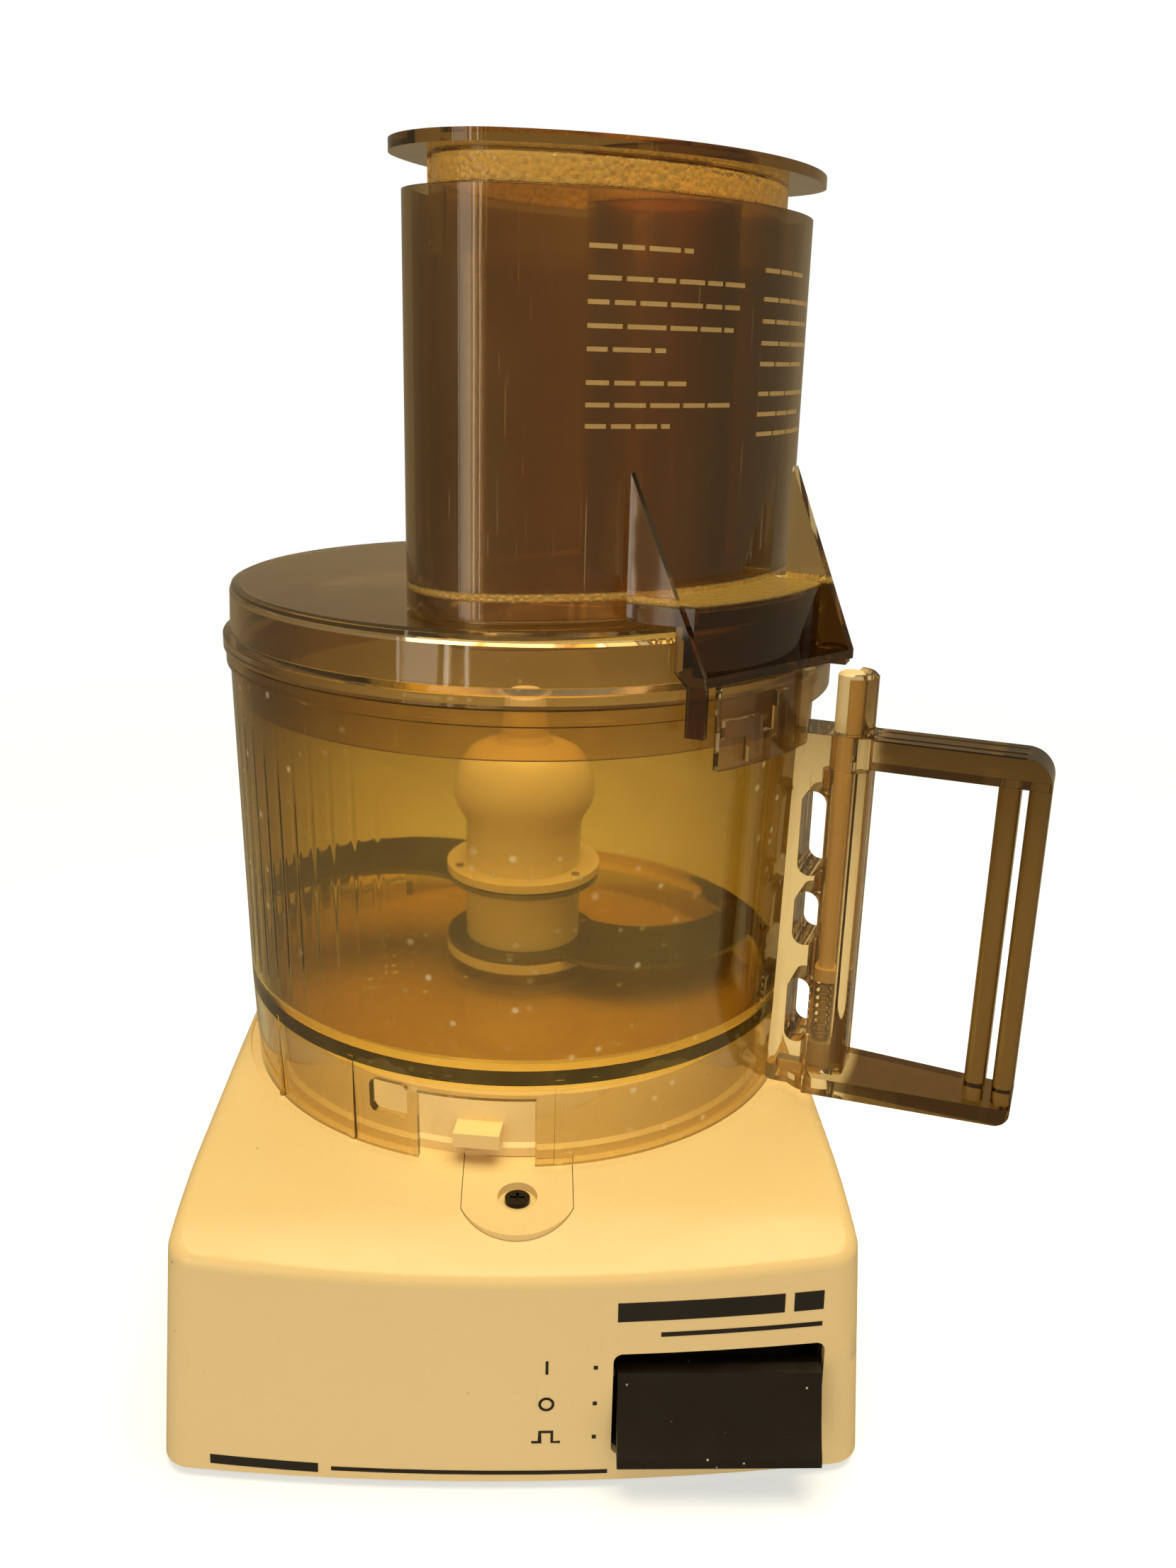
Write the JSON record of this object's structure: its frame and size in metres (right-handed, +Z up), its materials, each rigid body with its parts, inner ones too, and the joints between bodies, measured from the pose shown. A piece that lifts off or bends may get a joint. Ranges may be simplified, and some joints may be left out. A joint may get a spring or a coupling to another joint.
{
  "type": "food processor",
  "caption": "Countertop food processor: cream motor base, amber bowl with rod handle, cover with oval feed tube, sleeve and pushers, and a riveted chopping blade.",
  "frame": {"origin": "under the middle of the overall box, in the plane of the underside of the feet; the drive axis passes through x = -0.02711 m, y = -0.00584 m", "axes": "+Z up, along the drive axis's direction, +Y to the back of the base, +X to the right as seen from the front"},
  "size_m": [0.2442, 0.2724, 0.3412],
  "materials": {
    "housing_cream": "moulded cream plastic, yellowed with age",
    "seat_cream": "moulded cream plastic",
    "plate_grey": "matt moulded plastic",
    "rubber_black": "matt rubber",
    "screw_steel": "plated steel",
    "screw_black": "black oxide steel",
    "shaft_steel": "ground steel",
    "core_steel": "laminated steel",
    "winding_copper": "enamelled copper wire",
    "bell_aluminium": "die cast",
    "fan_plastic": "matt moulded plastic",
    "capacitor_case": "moulded case",
    "switch_black": "matt moulded plastic",
    "paddle_brown": "dark brown moulded plastic, dusty",
    "rod_cream": "moulded cream plastic",
    "bowl_amber": "transparent smoky amber plastic, lightly scratched",
    "cover_amber": "transparent smoky amber plastic",
    "sleeve_amber": "transparent smoky amber plastic",
    "pusher_amber": "transparent smoky amber plastic",
    "hub_cream": "moulded cream plastic",
    "blade_steel": "stainless steel, ground edge"
  },
  "bodies": {
    "base": {"base_housing": "housing_cream", "bottom_plate": "plate_grey", "rubber_feet": "rubber_black", "bottom_screws": "screw_steel", "bowl_seat": "seat_cream", "seat_screws": "screw_black", "shaft_sheath": "seat_cream", "motor_stator": "core_steel", "stator_windings": "winding_copper", "lower_end_bell": "bell_aluminium", "upper_end_bell": "bell_aluminium", "lower_bearing": "screw_steel", "upper_bearing": "screw_steel", "motor_bolts": "screw_steel", "motor_grommets": "rubber_black", "motor_screws": "screw_steel", "run_capacitor": "capacitor_case", "capacitor_clamp": "shaft_steel", "cord_gland": "rubber_black", "switch_frame": "switch_black", "paddle_pin": "screw_steel", "control_switch": "switch_black", "interlock_bracket": "shaft_steel", "interlock_switch": "switch_black"},
    "rotor": {"motor_shaft": "shaft_steel", "rotor_core": "core_steel", "cooling_fan": "fan_plastic"},
    "paddle": {"control_paddle": "paddle_brown"},
    "plunger": {"interlock_plunger": "rod_cream"},
    "bowl": {"work_bowl": "bowl_amber", "bowl_handle": "bowl_amber", "rod_guide_plug": "bowl_amber", "actuator_spring": "shaft_steel"},
    "rod": {"actuator_rod": "rod_cream"},
    "blade": {"blade_hub": "hub_cream", "lower_blade": "blade_steel", "upper_blade": "blade_steel", "blade_rivets": "blade_steel"},
    "cover": {"bowl_cover": "cover_amber"},
    "sleeve": {"pusher_sleeve": "sleeve_amber"},
    "pusher": {"food_pusher": "pusher_amber"},
    "small_pusher": {"small_pusher": "pusher_amber"}
  },
  "joints": [
    {"name": "motor_spin", "type": "hinge", "parent": "base", "child": "rotor", "pos_m": [-0.02711, -0.00584, 0.045], "axis": [0, 0, 1], "continuous": true},
    {"name": "paddle_turn", "type": "hinge", "parent": "base", "child": "paddle", "pos_m": [0.02689, -0.11534, 0.0265], "axis": [1, 0, 0], "range_deg": [-10, 10]},
    {"name": "plunger_slide", "type": "slide", "parent": "base", "child": "plunger", "axis": [0, 0, -1], "range_m": [0, 0.0035], "stiffness_N_per_m": 120, "springref_m": -0.003},
    {"name": "bowl_lift", "type": "slide", "parent": "base", "child": "bowl", "axis": [0, 0, 1], "range_m": [0, 0.11]},
    {"name": "rod_slide", "type": "slide", "parent": "bowl", "child": "rod", "axis": [0, 0, -1], "range_m": [0, 0.0035], "stiffness_N_per_m": 400, "springref_m": -0.004, "deforming": ["actuator_spring"]},
    {"name": "blade_spin", "type": "hinge", "parent": "bowl", "child": "blade", "pos_m": [-0.02711, -0.00584, 0.12], "axis": [0, 0, 1], "continuous": true},
    {"name": "cover_lift", "type": "slide", "parent": "bowl", "child": "cover", "axis": [0, 0, 1], "range_m": [0, 0.05]},
    {"name": "sleeve_slide", "type": "slide", "parent": "cover", "child": "sleeve", "axis": [0, 0, 1], "range_m": [0, 0.105]},
    {"name": "pusher_slide", "type": "slide", "parent": "sleeve", "child": "pusher", "axis": [0, 0, 1], "range_m": [0, 0.11]},
    {"name": "small_pusher_slide", "type": "slide", "parent": "pusher", "child": "small_pusher", "axis": [0, 0, 1], "range_m": [0, 0.11]}
  ],
  "couplings": [
    {"joint": "blade_spin", "follows": "motor_spin", "ratio": 1},
    {"joint": "plunger_slide", "follows": "rod_slide", "ratio": 1}
  ]
}
